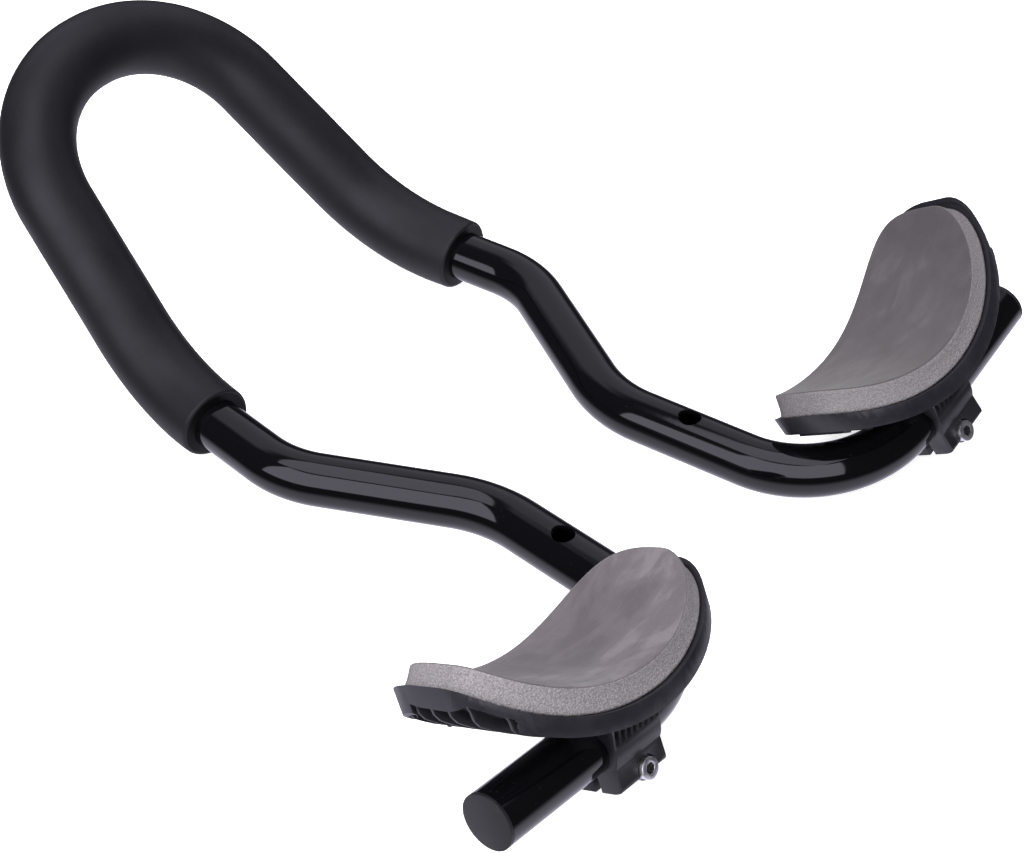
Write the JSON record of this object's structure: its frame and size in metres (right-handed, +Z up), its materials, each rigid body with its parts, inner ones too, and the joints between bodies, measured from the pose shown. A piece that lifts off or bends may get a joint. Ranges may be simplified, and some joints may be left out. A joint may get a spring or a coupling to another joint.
{
  "type": "bicycle handlebar",
  "caption": "Clip-on handlebar extension: a bent tube with a raised forward hand loop in a foam sleeve and cupped, padded forearm rests pinch-clamped on its rear stubs.",
  "frame": {"origin": "midway between the two vertical bolt holes of the arms, on the tube's centre line", "axes": "+X across the bar to the rider's right, +Y forward towards the hand loop, +Z up along the bolt holes"},
  "size_m": [0.3516, 0.4109, 0.1289],
  "materials": {
    "tube_black": "gloss",
    "sleeve_foam": "matte",
    "plug_plastic": "satin",
    "cup_plastic": "satin",
    "fastener_steel": "satin",
    "pad_foam": "matte",
    "pad_suede": "matte",
    "pad_patch": "matte"
  },
  "bodies": {
    "bar": {"bar_tube": "tube_black", "foam_sleeve": "sleeve_foam", "left_end_plug": "plug_plastic", "right_end_plug": "plug_plastic"},
    "left_rest": {"left_forearm_cup": "cup_plastic", "left_clamp_bolt": "fastener_steel", "left_clamp_washer": "fastener_steel", "left_clamp_nut": "fastener_steel", "left_pad_foam": "pad_foam", "left_pad_cover": "pad_suede", "left_pad_patch": "pad_patch"},
    "right_rest": {"right_forearm_cup": "cup_plastic", "right_clamp_bolt": "fastener_steel", "right_clamp_washer": "fastener_steel", "right_clamp_nut": "fastener_steel", "right_pad_foam": "pad_foam", "right_pad_cover": "pad_suede", "right_pad_patch": "pad_patch"}
  },
  "joints": [
    {"name": "left_rest_tilt", "type": "hinge", "parent": "bar", "child": "left_rest", "pos_m": [-0.11042, -0.07211, 0.00944], "axis": [0.9876, -0.0431, -0.1513], "range_deg": [-9, 60]},
    {"name": "right_rest_tilt", "type": "hinge", "parent": "bar", "child": "right_rest", "pos_m": [0.11042, -0.07211, 0.00944], "axis": [0.9876, 0.0431, 0.1513], "range_deg": [-3, 60]}
  ]
}
